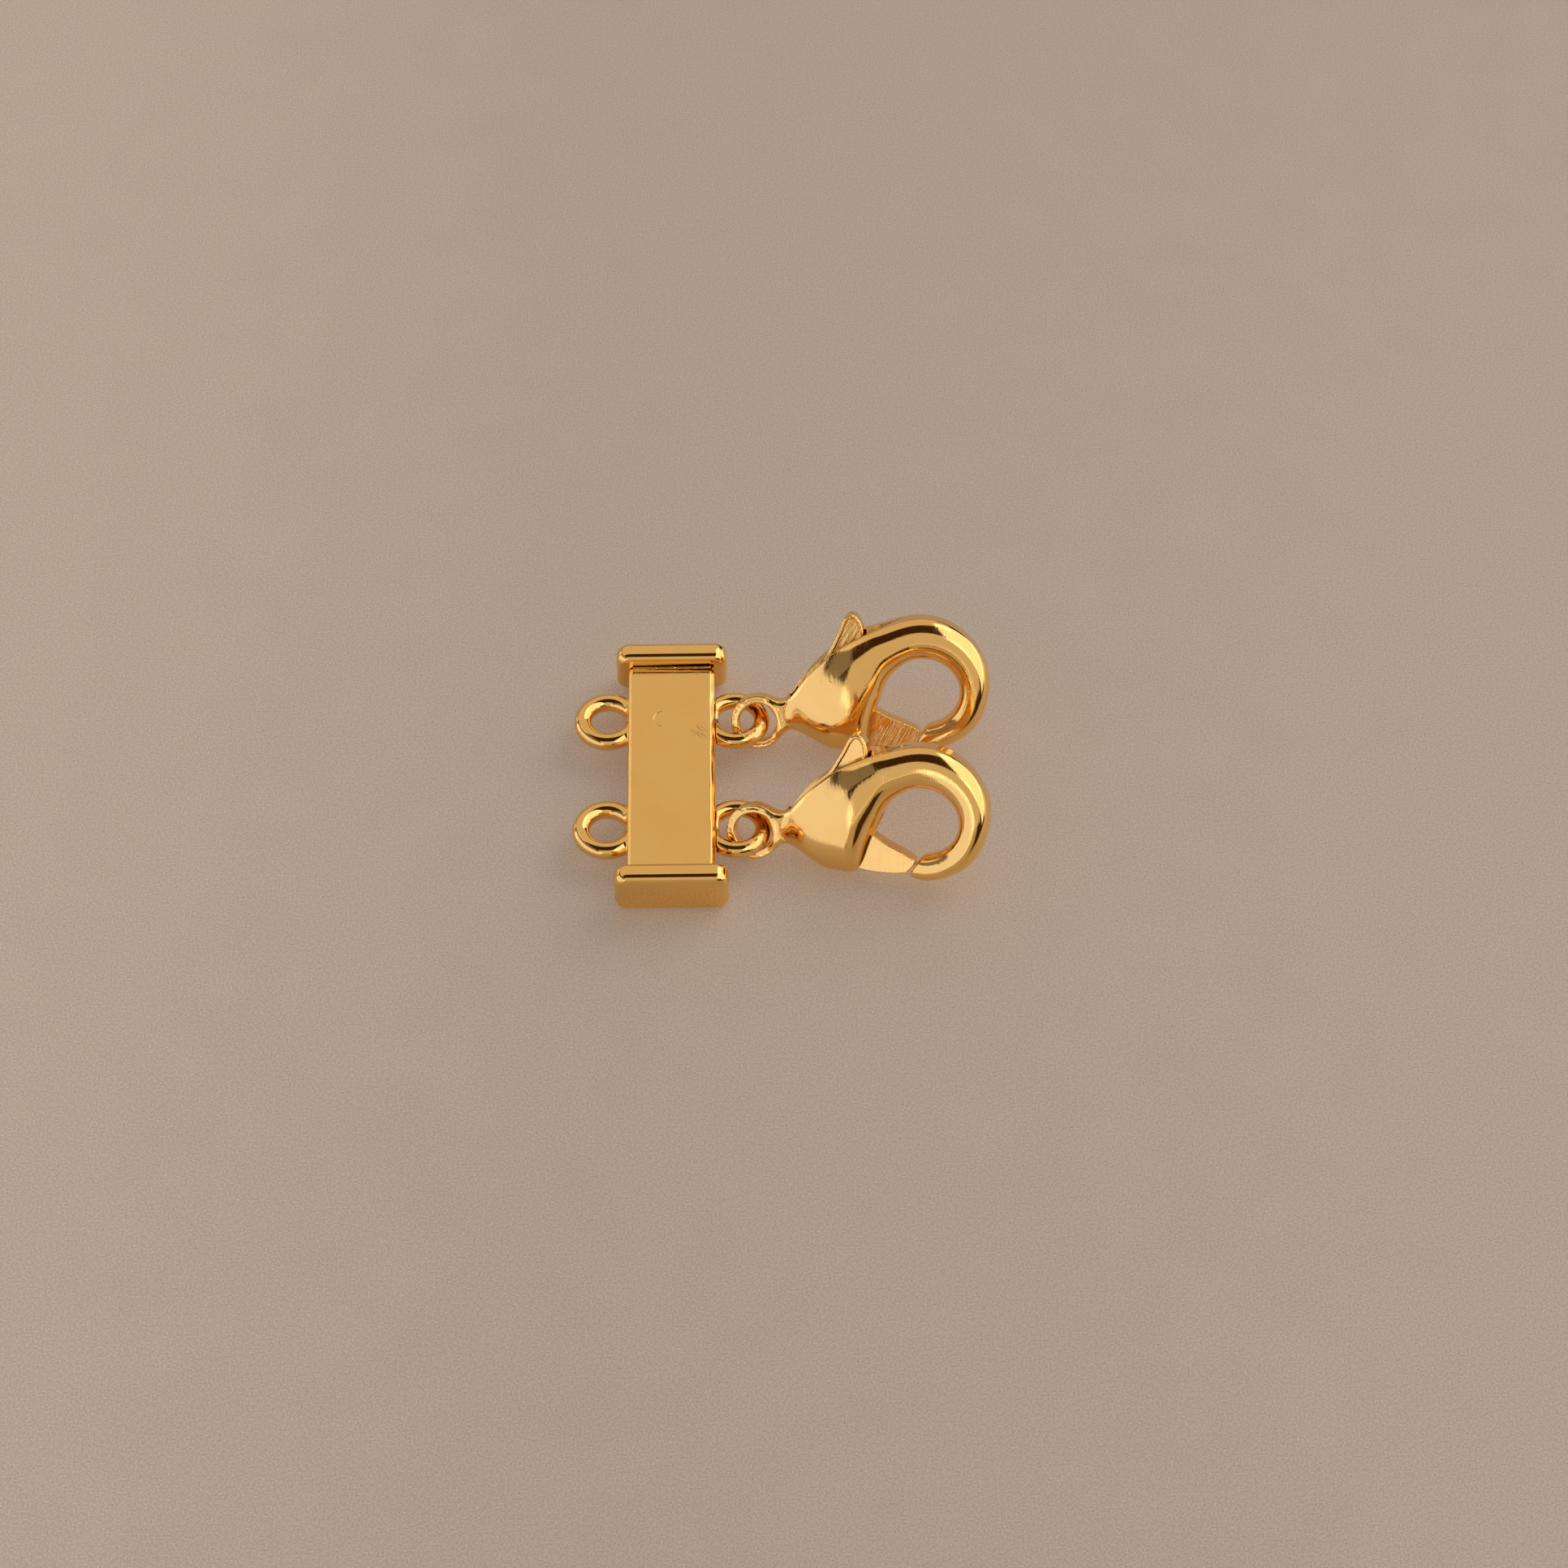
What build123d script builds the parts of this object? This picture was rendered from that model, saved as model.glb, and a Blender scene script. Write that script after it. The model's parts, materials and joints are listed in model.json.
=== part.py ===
from build123d import *
from collections import namedtuple
from math import asin, atan2, cos, degrees, hypot, radians, sin
import os

# A two-strand slide clasp of gold-plated brass with a lobster claw on each right-hand ring.
# Millimetres. +Y runs along the bar, +X points to the claws, +Z is up.
# The origin is the middle of the near end cap's underside.

# Slide lock: end caps, tube and inner bar
cap_width = 5.67
cap_height = 2.59
cap_thick = 1.17
cap_corner_round = 0.55
cap_edge_round = 0.28
tube_length = 13.0
tube_width = 4.40
tube_height = 1.35
tube_lift = 0.50
tube_wall = 0.26
tube_edge_round = 0.16
lip_width = 0.28
lip_slot = 0.62
slide_fit = 0.06
cap_gap = 0.04
bar_end_gap = 0.50
solder_sink = 0.10

# Strand rings: round wire in the plane of the tube's mid-height
ring_radius = 1.32
wire_radius = 0.413
ring_reach = 3.24
ring_pitch = 6.98
ring_tab_width = 1.90

# Claw: eye, neck, bulb and hook, measured from the middle of the eye
eye_hole_radius = 0.96
eye_radius = 1.33
eye_thick = 0.90
eye_round = 0.18
neck_root = 1.00
neck_width = 1.70
neck_thick = 1.10
claw_reach = 8.55
bulb_width = 5.55
bulb_thick = 3.20
hook_centre_across = -0.15
hook_hole_radius = 1.75
hook_radius = 3.30
hook_thick = 1.90
rim_share = 0.66
corner_share = 0.84
skin_swell = 0.13

# Lever: thumb tab, web and jaw in one plate that turns on a hidden pin
lever_thick = 0.96
lever_fit = 0.04
pivot_along = 4.30
pivot_across = 0.60
boss_radius = 0.98
pin_radius = 0.35
pin_fit = 0.04
pin_seat_gap = 0.02
pin_seat_depth = 0.60

# How the claws lie: their planes lean back and their hooks rest on the surface
claw_lean = 52.0
near_eye_reach = 0.92
near_eye_aside = -0.15
near_claw_yaw = -5.5
far_eye_reach = 1.18
far_eye_aside = -0.06
far_claw_yaw = 3.3
floor_gap = 0.02

# Places that follow from the sizes above
tube_near = cap_thick / 2 + cap_gap
tube_far = tube_near + tube_length
mid_along = (cap_thick / 2 + tube_far) / 2
ring_height = tube_lift + tube_height / 2
near_ring_along = mid_along - ring_pitch / 2
far_ring_along = mid_along + ring_pitch / 2
cavity_width = tube_width - tube_wall - lip_width
cavity_height = tube_height - 2 * tube_wall
cavity_middle = (tube_wall - lip_width) / 2
bar_width = cavity_width - 2 * slide_fit
bar_height = cavity_height - 2 * slide_fit
bar_side = cavity_middle + bar_width / 2
ring_cut = tube_width / 2 + slide_fit
tab_end = ring_cut + wire_radius / 8
tab_thick = lip_slot - 2 * slide_fit
slot_thick = lever_thick + 2 * lever_fit

# Cast body of a claw, one row a section from the neck round to the tip. A bulb row gives both
# ends of a section as shares of claw_reach and bulb_width, and its thickness as a share of
# bulb_thick.
BulbRow = namedtuple("BulbRow", "top_along top_across low_along low_across thick")
bulb_rows = [
    BulbRow(0.205, 0.180, 0.205, -0.162, 0.44),
    BulbRow(0.262, 0.247, 0.287, -0.260, 0.71),
    BulbRow(0.339, 0.347, 0.380, -0.380, 0.89),
    BulbRow(0.436, 0.446, 0.476, -0.410, 0.98),
    BulbRow(0.540, 0.533, 0.583, -0.450, 1.00),
    BulbRow(0.634, 0.586, 0.680, -0.210, 0.98),
    BulbRow(0.713, 0.616, 0.758, -0.010, 0.92),
    BulbRow(0.781, 0.634, 0.830, 0.148, 0.87),
]

# A hook row turns about the middle of the hook's hole: the angle from the claw's length, both
# ends as shares of hook_hole_radius and hook_radius, the thickness as a share of hook_thick.
HookRow = namedtuple("HookRow", "turn inner outer thick")
hook_rows = [
    HookRow(108, 0.90, 1.18, 1.37),
    HookRow(90, 0.90, 1.14, 1.26),
    HookRow(64, 0.90, 1.12, 1.16),
    HookRow(36, 0.94, 1.08, 1.08),
    HookRow(6, 1.02, 1.05, 1.03),
    HookRow(-24, 1.07, 1.01, 1.00),
    HookRow(-52, 1.07, 1.00, 0.96),
    HookRow(-74, 1.06, 0.97, 0.92),
    HookRow(-90, 1.06, 0.96, 0.84),
    HookRow(-99, 1.10, 0.95, 0.68),
    HookRow(-105, 1.25, 0.92, 0.50),
    HookRow(-108, 1.33, 0.88, 0.32),
]

# Outlines in the claw's plane, as shares of claw_reach and bulb_width. The lever's runs up the
# left side of its thumb, over the tip, down to the jaw, round the jaw's end and back below.
thumb_left = [(0.400, 0.126), (0.480, 0.369), (0.557, 0.541), (0.632, 0.717)]
thumb_tip = [(0.657, 0.780), (0.690, 0.802), (0.725, 0.784)]
thumb_right = [(0.737, 0.703), (0.733, 0.595), (0.673, 0.396), (0.626, 0.171)]
jaw_top = [(0.634, 0.000), (0.678, -0.108), (0.710, -0.153), (0.777, -0.240), (0.856, -0.310)]
jaw_end = [(0.919, -0.389), (0.889, -0.441), (0.861, -0.483)]
jaw_low = [(0.722, -0.450), (0.578, -0.396), (0.480, -0.234), (0.392, 0.018)]
slot_outline = [
    (0.756, 0.973), (0.756, 0.631), (0.738, 0.523), (0.696, 0.360), (0.657, 0.180),
    (0.725, 0.081), (0.807, 0.054), (0.871, 0.045), (0.871, -0.595), (0.620, -0.595),
    (0.538, -0.405), (0.462, -0.270), (0.374, -0.063), (0.357, 0.135), (0.287, 0.108),
    (0.246, 0.153), (0.222, 0.342), (0.374, 0.973),
]


def hook_point(turn, radius):
    """A point in the claw's plane, turned about the middle of the hook's hole."""
    across = hook_centre_across + radius * sin(radians(turn))
    return (claw_reach + radius * cos(radians(turn)), across)


def bulb_points(shares):
    """Points in the claw's plane from shares of its reach and width."""
    return [(along * claw_reach, across * bulb_width) for along, across in shares]


def section_ends():
    """Outer end, inner end and thickness of each section, from the neck to the hook's tip."""
    ends = []
    for row in bulb_rows:
        top = (row.top_along * claw_reach, row.top_across * bulb_width)
        low = (row.low_along * claw_reach, row.low_across * bulb_width)
        ends.append((top, low, row.thick * bulb_thick))
    for row in hook_rows:
        top = hook_point(row.turn, row.outer * hook_radius)
        low = hook_point(row.turn, row.inner * hook_hole_radius)
        ends.append((top, low, row.thick * hook_thick))
    return ends


def section_round(width, rim):
    """Radius of a section's four corners."""
    return min(rim, width / 2) * corner_share


def eye_height():
    """Height of the eye's middle when its leaning rim rests on the surface."""
    lean = radians(claw_lean)
    rim_drop = (eye_radius - eye_round) * sin(lean) + (eye_thick / 2 - eye_round) * cos(lean)
    return floor_gap + rim_drop + eye_round


def claw_pitch():
    """Rise of the claw's length that rests its lower edge on the surface."""
    lean = radians(claw_lean)
    rises = []
    for top, low, thick in section_ends():
        width = hypot(top[0] - low[0], top[1] - low[1])
        rim = thick * rim_share / 2
        corner = section_round(width, rim)
        along = low[0] + (top[0] - low[0]) * corner / width
        across = low[1] + (top[1] - low[1]) * corner / width
        drop = across * sin(lean) - (rim - corner) * cos(lean)
        rest = floor_gap + skin_swell + corner - eye_height()
        rise = asin(rest / hypot(along, drop))
        rises.append(rise - atan2(drop, along))
    return degrees(max(rises))


def claw_seat(ring_along, reach, aside, yaw):
    """The claw's own plane: origin in the middle of its eye, X along the claw."""
    pitch = radians(claw_pitch())
    lean = radians(claw_lean)
    along = Vector(cos(pitch), 0, sin(pitch)).rotate(Axis.Z, yaw)
    normal = Vector(-cos(lean) * sin(pitch), -sin(lean), cos(lean) * cos(pitch))
    middle = (ring_reach + reach, ring_along + aside, eye_height())
    return Plane(origin=middle, x_dir=along, z_dir=normal.rotate(Axis.Z, yaw))


def section_plane(seat, top, low):
    """Plane across the claw through both ends of a section, X towards the outer end."""
    middle = seat.from_local_coords(((top[0] + low[0]) / 2, (top[1] + low[1]) / 2, 0))
    outwards = seat.from_local_coords((top[0], top[1], 0)) - middle
    return Plane(origin=middle, x_dir=outwards, z_dir=outwards.cross(seat.z_dir))


def strand_ring(along, side, cut):
    """A wire ring beside the tube, cut off flat at a distance from the tube's middle."""
    kept = Keep.TOP if side > 0 else Keep.BOTTOM
    with BuildPart() as ring:
        with BuildSketch(Plane.XZ.offset(-along)):
            with Locations((side * (ring_reach + ring_radius), ring_height)):
                Circle(wire_radius)
        revolve(axis=Axis((side * ring_reach, along, ring_height), (0, 0, 1)))
        split(bisect_by=Plane.YZ.offset(side * cut), keep=kept)
    return ring.part


def end_cap(inner_face, direction):
    """A rounded end plate that stands on the surface."""
    with BuildPart() as cap:
        with BuildSketch(Plane.XZ.offset(-inner_face)):
            with Locations((0, cap_height / 2)):
                RectangleRounded(cap_width, cap_height, cap_corner_round)
        extrude(amount=-direction * cap_thick)
        fillet(cap.faces().filter_by(Axis.Y).edges(), cap_edge_round)
    return cap.part


def claw_body(seat):
    """Cast body: eye, neck, bulb and hook, slotted for the lever."""
    with BuildPart() as body:
        for top, low, thick in section_ends():
            width = hypot(top[0] - low[0], top[1] - low[1])
            rim = thick * rim_share / 2
            with BuildSketch(section_plane(seat, top, low)) as section:
                with BuildLine():
                    Line((-width / 2, -rim), (-width / 2, rim))
                    ThreePointArc((-width / 2, rim), (0, thick / 2), (width / 2, rim))
                    Line((width / 2, rim), (width / 2, -rim))
                    ThreePointArc((width / 2, -rim), (0, -thick / 2), (-width / 2, -rim))
                make_face()
                fillet(section.vertices(), section_round(width, rim))
        loft()
        with BuildSketch(seat):
            Polygon(*bulb_points(slot_outline), align=None)
        extrude(amount=slot_thick / 2, both=True, mode=Mode.SUBTRACT)
        with BuildSketch(seat):
            with Locations((pivot_along, pivot_across)):
                Circle(pin_radius + pin_seat_gap)
        extrude(amount=slot_thick / 2 + pin_seat_depth, both=True, mode=Mode.SUBTRACT)
        neck_end = bulb_rows[0].top_along * claw_reach + solder_sink
        neck_rise = (bulb_rows[0].top_across + bulb_rows[0].low_across) / 2 * bulb_width
        neck_ends = [
            ((neck_root, neck_width / 2), (neck_root, -neck_width / 2)),
            ((neck_end, neck_rise + neck_width / 2), (neck_end, neck_rise - neck_width / 2)),
        ]
        for top, low in neck_ends:
            with BuildSketch(section_plane(seat, top, low)):
                RectangleRounded(neck_width, neck_thick, neck_thick * corner_share / 2)
        loft()
    with BuildPart() as eye:
        with BuildSketch(seat):
            Circle(eye_radius)
            Circle(eye_hole_radius, mode=Mode.SUBTRACT)
        extrude(amount=eye_thick / 2, both=True)
        fillet(eye.edges().filter_by(GeomType.CIRCLE), eye_round)
    with body:
        add(eye.part)
    return body.part


def claw_lever(seat):
    """Lever plate: round boss on the pin, thumb tab above it and jaw to the hook's tip."""
    with BuildPart() as lever:
        with BuildSketch(seat):
            with BuildLine():
                Spline(*bulb_points(thumb_left + thumb_tip[:1]))
                ThreePointArc(*bulb_points(thumb_tip))
                Spline(*bulb_points(thumb_tip[-1:] + thumb_right))
                Spline(*bulb_points(thumb_right[-1:] + jaw_top + jaw_end[:1]))
                Polyline(*bulb_points(jaw_end))
                Spline(*bulb_points(jaw_end[-1:] + jaw_low))
                Line(*bulb_points([jaw_low[-1], thumb_left[0]]))
            make_face()
            with Locations((pivot_along, pivot_across)):
                Circle(boss_radius)
                Circle(pin_radius + pin_fit, mode=Mode.SUBTRACT)
        extrude(amount=lever_thick / 2, both=True)
    return lever.part


def pivot_pin(seat):
    """Plain pin through the lever, seated in the bulb on both sides."""
    with BuildPart() as pin:
        with BuildSketch(seat):
            with Locations((pivot_along, pivot_across)):
                Circle(pin_radius)
        extrude(amount=slot_thick / 2 + pin_seat_depth - pin_seat_gap, both=True)
    return pin.part


near_cap = end_cap(cap_thick / 2, -1)
far_cap = end_cap(tube_far, 1)
ring_alongs = [near_ring_along, far_ring_along]
bar_rings = [strand_ring(along, 1, ring_cut) for along in ring_alongs]
tube_rings = [strand_ring(along, -1, tube_width / 2 - solder_sink) for along in ring_alongs]

# Inner bar with the near cap and the right-hand rings on their tabs
with BuildPart() as slide_bar:
    add(near_cap)
    with BuildSketch(Plane.XZ.offset(solder_sink - cap_thick / 2)):
        with Locations((cavity_middle, ring_height)):
            Rectangle(bar_width, bar_height)
    extrude(amount=-(solder_sink + cap_gap + tube_length - bar_end_gap))
    for along in ring_alongs:
        with BuildSketch(Plane.XY.offset(ring_height)):
            with Locations(((bar_side - solder_sink + tab_end) / 2, along)):
                Rectangle(tab_end - bar_side + solder_sink, ring_tab_width)
        extrude(amount=tab_thick / 2, both=True)
    add(bar_rings)

# Flat tube with its side slot, the far cap and the left-hand rings
with BuildPart() as slide_tube:
    with BuildSketch(Plane.XZ.offset(-tube_near)):
        with Locations((0, ring_height)):
            RectangleRounded(tube_width, tube_height, tube_edge_round)
        with Locations((cavity_middle, ring_height)):
            Rectangle(cavity_width, cavity_height, mode=Mode.SUBTRACT)
        with Locations((tube_width / 2, ring_height)):
            Rectangle(lip_width * 3, lip_slot, mode=Mode.SUBTRACT)
    extrude(amount=-tube_length)
    add(far_cap)
    add(tube_rings)

os.makedirs("parts", exist_ok=True)
slide_bar.part.label = "slide_bar"
export_step(slide_bar.part, "parts/slide_bar.step")
slide_tube.part.label = "slide_tube"
export_step(slide_tube.part, "parts/slide_tube.step")

seats = {
    "near": claw_seat(near_ring_along, near_eye_reach, near_eye_aside, near_claw_yaw),
    "far": claw_seat(far_ring_along, far_eye_reach, far_eye_aside, far_claw_yaw),
}
for which, seat in seats.items():
    pieces = {
        "claw_body": claw_body(seat),
        "claw_lever": claw_lever(seat),
        "pivot_pin": pivot_pin(seat),
    }
    for name, piece in pieces.items():
        piece.label = f"{which}_{name}"
        export_step(piece, f"parts/{which}_{name}.step")
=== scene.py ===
import json
from collections import namedtuple
from itertools import product
from math import cos, pi, radians, sin

import bpy
import numpy as np
from mathutils import Matrix, Vector
from numpy.linalg import norm

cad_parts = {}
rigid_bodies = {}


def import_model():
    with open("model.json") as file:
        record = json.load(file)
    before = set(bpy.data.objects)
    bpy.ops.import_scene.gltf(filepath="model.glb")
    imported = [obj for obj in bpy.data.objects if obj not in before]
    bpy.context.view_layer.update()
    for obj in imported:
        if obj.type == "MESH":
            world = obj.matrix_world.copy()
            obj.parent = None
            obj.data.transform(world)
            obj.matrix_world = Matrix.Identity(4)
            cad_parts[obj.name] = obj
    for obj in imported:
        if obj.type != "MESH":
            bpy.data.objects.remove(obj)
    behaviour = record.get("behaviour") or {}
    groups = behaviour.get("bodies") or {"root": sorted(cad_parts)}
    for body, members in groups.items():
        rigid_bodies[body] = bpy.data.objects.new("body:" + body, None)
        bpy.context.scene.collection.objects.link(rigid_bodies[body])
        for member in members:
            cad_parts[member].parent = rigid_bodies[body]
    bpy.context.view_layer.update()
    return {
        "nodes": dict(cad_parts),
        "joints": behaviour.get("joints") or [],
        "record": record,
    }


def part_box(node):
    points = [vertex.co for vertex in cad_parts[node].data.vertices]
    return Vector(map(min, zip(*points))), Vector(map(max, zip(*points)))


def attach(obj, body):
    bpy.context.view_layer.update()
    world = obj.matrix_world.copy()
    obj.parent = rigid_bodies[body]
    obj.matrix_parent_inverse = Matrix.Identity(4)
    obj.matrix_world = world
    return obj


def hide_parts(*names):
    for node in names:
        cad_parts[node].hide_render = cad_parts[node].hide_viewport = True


# A two-strand slide clasp of polished gold plate with two lobster claws, on a satin surface.
# Shapes are worked out in millimetres, and meshes, lights and the camera are in metres.

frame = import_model()
METRE = 1000.0

# Slide lock: the solids' sizes, with finer edges
cap_width = 5.67
cap_height = 2.59
cap_thick = 1.17
cap_corner_round = 0.66
cap_edge_round = 0.38
cap_face_crown = 0.02
cap_face_rings = (0.12, 0.35, 0.6, 0.8, 0.92)
cap_edge_steps = 7
tube_width = 4.40
tube_height = 1.35
tube_lift = 0.50
tube_wall = 0.26
tube_edge_bevel = 0.21
tube_edge_drop = 0.18
tube_edge_round = 0.05
tube_end_round = 0.03
tube_end_share = 0.3
tube_stations = 90
lip_width = 0.28
lip_slot = 0.62
lip_round = 0.05
corner_parts = 5
slide_fit = 0.06
cap_gap = 0.04
bar_corner_round = 0.06
bar_root = 0.10
bar_end_taper = ((0.08, 1), (0.02, 0.98), (0, 0.92))
bead_radius = 0.05

# The tube's far end sags over a reach that grows from left to right, and its right edge is
# pressed in unevenly, in waves of a height, a rate and a start
tube_sag = 0.09
tube_sag_reach = (0.12, 0.34)
tube_press = 0.02
tube_waves = ((0.012, 1.9, 0.6), (0.008, 4.3, 0.0))

# Strand rings
ring_radius = 1.32
wire_radius = 0.413
left_wire_extra = 0.03
ring_reach = 3.24
ring_pitch = 6.98
ring_tab_width = 1.90
ring_tab_reach = (-0.15, 0.85)
ring_tab_round = 0.06
ring_tab_blend = 0.10
ring_edge_round = 0.05
ring_flare = 0.20
ring_flare_end = 0.9
root_reach = (0.3, 0.9)
root_overlap = 0.05
root_round = 0.04

# Where the claw's eye has worn a right ring, along and across from the ring's middle
bearing_place = (-0.95, 0.95)
bearing_spread = 0.35
bearing_patch = (-0.95, 0.85)
bearing_patch_radius = 0.75

# Claw, measured from the middle of its eye
eye_hole_radius = 0.91
eye_radius = 1.39
eye_thick = 0.90
eye_round = 0.09
claw_reach = 8.55
bulb_width = 5.55
bulb_thick = 3.20
hook_centre_across = -0.15
hook_hole_radius = 1.75
hook_radius = 3.30
hook_thick = 1.90
section_power = 2.5
slot_half = 0.54
lever_half = 0.475
pivot_along = 4.30
pivot_across = 0.60
boss_radius = 0.98
pin_hole_radius = 0.39

# The lever's rims are rounder on its thumb, whose face is dished inside a raised rim
lever_round = 0.05
thumb_extra_round = 0.05
thumb_start = (2.2, 3.2)
thumb_dish = 0.08
thumb_rim = (0.15, 0.21)
boss_blend = 0.2
curve_parts = 6
jaw_start = (5.2, 5.8)

# Cast surfaces: the step that slopes are measured over, the least that a squared slope counts
# as, and how often and how far their points are evened out
slope_step = 0.002
least_steep = 0.05
even_rounds = 2
even_share = 0.5

# Where each cast shape is looked for: two corners of a box, and a cell's size
Grid = namedtuple("Grid", "low high cell")
claw_grid = Grid((-1.5, -3.6, -1.75), (12.25, 3.8, 1.75), 0.062)
lever_grid = Grid((2.2, -2.9, -0.6), (8.1, 4.6, 0.6), 0.045)
left_ring_grid = Grid((-1.833, -1.833, -0.85), (1.15, 1.833, 0.85), 0.042)
right_ring_grid = Grid((-1.833, -1.833, -0.85), (2.1, 1.833, 0.6), 0.042)
bead_grid = Grid((-2.4, -0.15, -0.12), (2.4, 0.15, 0.12), 0.02)

# Patches with the rough finish: the outer rim of the eye, and the edges of the jaw
rim_patch_end = 1.3
rim_patch_radius = 1.28
jaw_patch_start = 5.7
jaw_patch_half = 0.40

# Casting grain: its height, the size of its cells, and a seed
Grain = namedtuple("Grain", "height cell seed")
eye_grain = Grain(0.012, 0.16, 3)
lever_grain = Grain(0.006, 0.13, 5)
left_ring_grain = Grain(0.004, 1.1, 7)
right_ring_grain = Grain(0.006, 0.9, 8)
bearing_grain = Grain(0.014, 0.14, 9)
root_grain = Grain(0.02, 0.22, 11)
bead_grain = Grain(0.015, 0.12, 13)

# Cast body of a claw, one row a section from the neck to the tip. A bulb row has its outer and
# inner ends as shares of claw_reach and bulb_width, and its thickness as one of bulb_thick.
bulb_rows = [
    (0.140, 0.132, 0.140, -0.122, 0.38),
    (0.205, 0.180, 0.205, -0.162, 0.47),
    (0.262, 0.247, 0.287, -0.260, 0.65),
    (0.339, 0.347, 0.380, -0.380, 0.81),
    (0.436, 0.446, 0.476, -0.430, 0.93),
    (0.540, 0.533, 0.583, -0.440, 1.00),
    (0.634, 0.586, 0.680, -0.210, 0.98),
    (0.713, 0.616, 0.758, -0.010, 0.92),
    (0.781, 0.634, 0.830, 0.148, 0.87),
]

# A hook row has its angle about the middle of the hook's hole, and shares of hook_hole_radius,
# hook_radius and hook_thick
hook_rows = [
    (108, 0.90, 1.18, 1.37), (90, 0.90, 1.14, 1.26), (64, 0.90, 1.12, 1.16),
    (36, 0.94, 1.08, 1.08), (6, 1.02, 1.05, 1.03), (-24, 1.07, 1.01, 1.00),
    (-52, 1.07, 1.00, 0.96), (-74, 1.06, 0.97, 0.92), (-90, 1.06, 0.96, 0.84),
    (-99, 1.10, 0.95, 0.76), (-106, 1.20, 0.93, 0.66), (-111, 1.28, 0.91, 0.58),
]

# Outlines in the claw's plane, as shares of claw_reach and bulb_width. The lever's runs up the
# left side of its thumb, over the tip, down to the jaw, round the jaw's end and back below.
thumb_left = [(0.281, 0.250), (0.341, 0.328), (0.409, 0.404), (0.468, 0.460), (0.510, 0.505),
              (0.556, 0.590), (0.598, 0.672)]
thumb_tip = [(0.626, 0.735), (0.652, 0.780), (0.686, 0.799), (0.719, 0.772), (0.739, 0.708)]
thumb_right = [(0.741, 0.650), (0.733, 0.580), (0.673, 0.396), (0.626, 0.171)]
jaw_top = [(0.634, 0.000), (0.678, -0.092), (0.710, -0.128), (0.777, -0.219), (0.856, -0.301)]
jaw_end = [(0.918, -0.376), (0.931, -0.405), (0.922, -0.436), (0.868, -0.503)]
jaw_low = [(0.735, -0.482), (0.585, -0.415), (0.500, -0.300), (0.392, 0.018)]
slot_outline = [
    (0.756, 0.973), (0.756, 0.631), (0.738, 0.523), (0.696, 0.360), (0.657, 0.180),
    (0.725, 0.081), (0.807, 0.054), (0.871, 0.045), (0.871, -0.595), (0.620, -0.595),
    (0.538, -0.405), (0.462, -0.270), (0.340, -0.060), (0.305, 0.005), (0.262, 0.045),
    (0.245, 0.070), (0.225, 0.130), (0.205, 0.250), (0.374, 0.973),
]

# The neck between the eye and the bulb, with a waist, and how softly the three are joined
neck_middle = (1.35, 0.02)
neck_half_long = 0.55
neck_half_thick = 0.52
neck_round = 0.30
waist_half = 0.84
waist_dip = 0.04
waist_along = 1.45
waist_spread = 0.25
stem_blend = 0.30
eye_hole_round = 0.16
bulb_blend = 0.05

# The eye's rim is rough past a distance from its middle, up to the bulb
eye_rough_reach = (1.10, 1.25)
eye_rough_end = (1.2, 1.6)

# The crease where the neck runs into the bulb, bowed towards the eye
crease_along = 1.41
crease_bend = 0.62
crease_end = 1.66
crease_depth = 0.03
crease_half_width = 0.03
crease_round = 0.06

# The search for the nearest section: places tried, points at a time, and rounds after it
spine_places = 320
spine_block = 8000
spine_rounds = 3

# The ends of the bulb and hook are rounded, and the hook is cut clear of the jaw's end
spine_end_round = 0.22
hook_cut = (7.985, -2.36)
hook_cut_turn = radians(139.5)
hook_cut_start = 0.8
hook_cut_round = 0.14

# The outer side of the bulb and hook is cut flat at a share of a section's half width, and
# turns round between shares of the spine's length
outer_fullness = 1.035
flank_share = 0.972
flank_rise = 0.05
flank_round = 0.02
flank_fade = (0.70, 0.84)
near_rim_drop = 0.14
near_rim_fade = (0.36, 0.50)

# A tiny nub at the slot's edge, the slot's edges, and the spot worn flat on the floor
nub_place = (6.00, -0.60, 0.66)
nub_radius = 0.09
nub_blend = 0.04
slot_round = 0.07
floor_gap = 0.01
floor_round = 0.02

# Places that follow from the sizes above
near_cap_inner = cap_thick / 2
tube_near = near_cap_inner + cap_gap
tube_far = float(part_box("slide_tube")[1].y) * METRE - cap_thick
mid_along = (near_cap_inner + tube_far) / 2
ring_height = tube_lift + tube_height / 2
ring_alongs = {"near": mid_along - ring_pitch / 2, "far": mid_along + ring_pitch / 2}
root_along = ring_reach - tube_width / 2
cavity_left = tube_wall - tube_width / 2
cavity_right = tube_width / 2 - lip_width

# Camera, fitted to the photograph: it looks down at the middle of the frame from its own height
picture_pixels = 1932
camera_lift = radians(51.43)
camera_yaw = radians(0.87)
camera_distance = 220.37
focus_place = (5.651, -0.676, 1.30)
focal_pixels = 5399
sensor_width = 36.0
clip_reach = (0.01, 10)

# Linear colours: fresh and deeper gold, the board's main tone, and its paler tone of painted light
# towards the left
gold_light = (0.99, 0.64, 0.215, 1)
gold_deep = (0.97, 0.60, 0.185, 1)
floor_colour = (0.63, 0.51, 0.425, 1)
floor_lit_colour = (0.72, 0.593, 0.495, 1)

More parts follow.
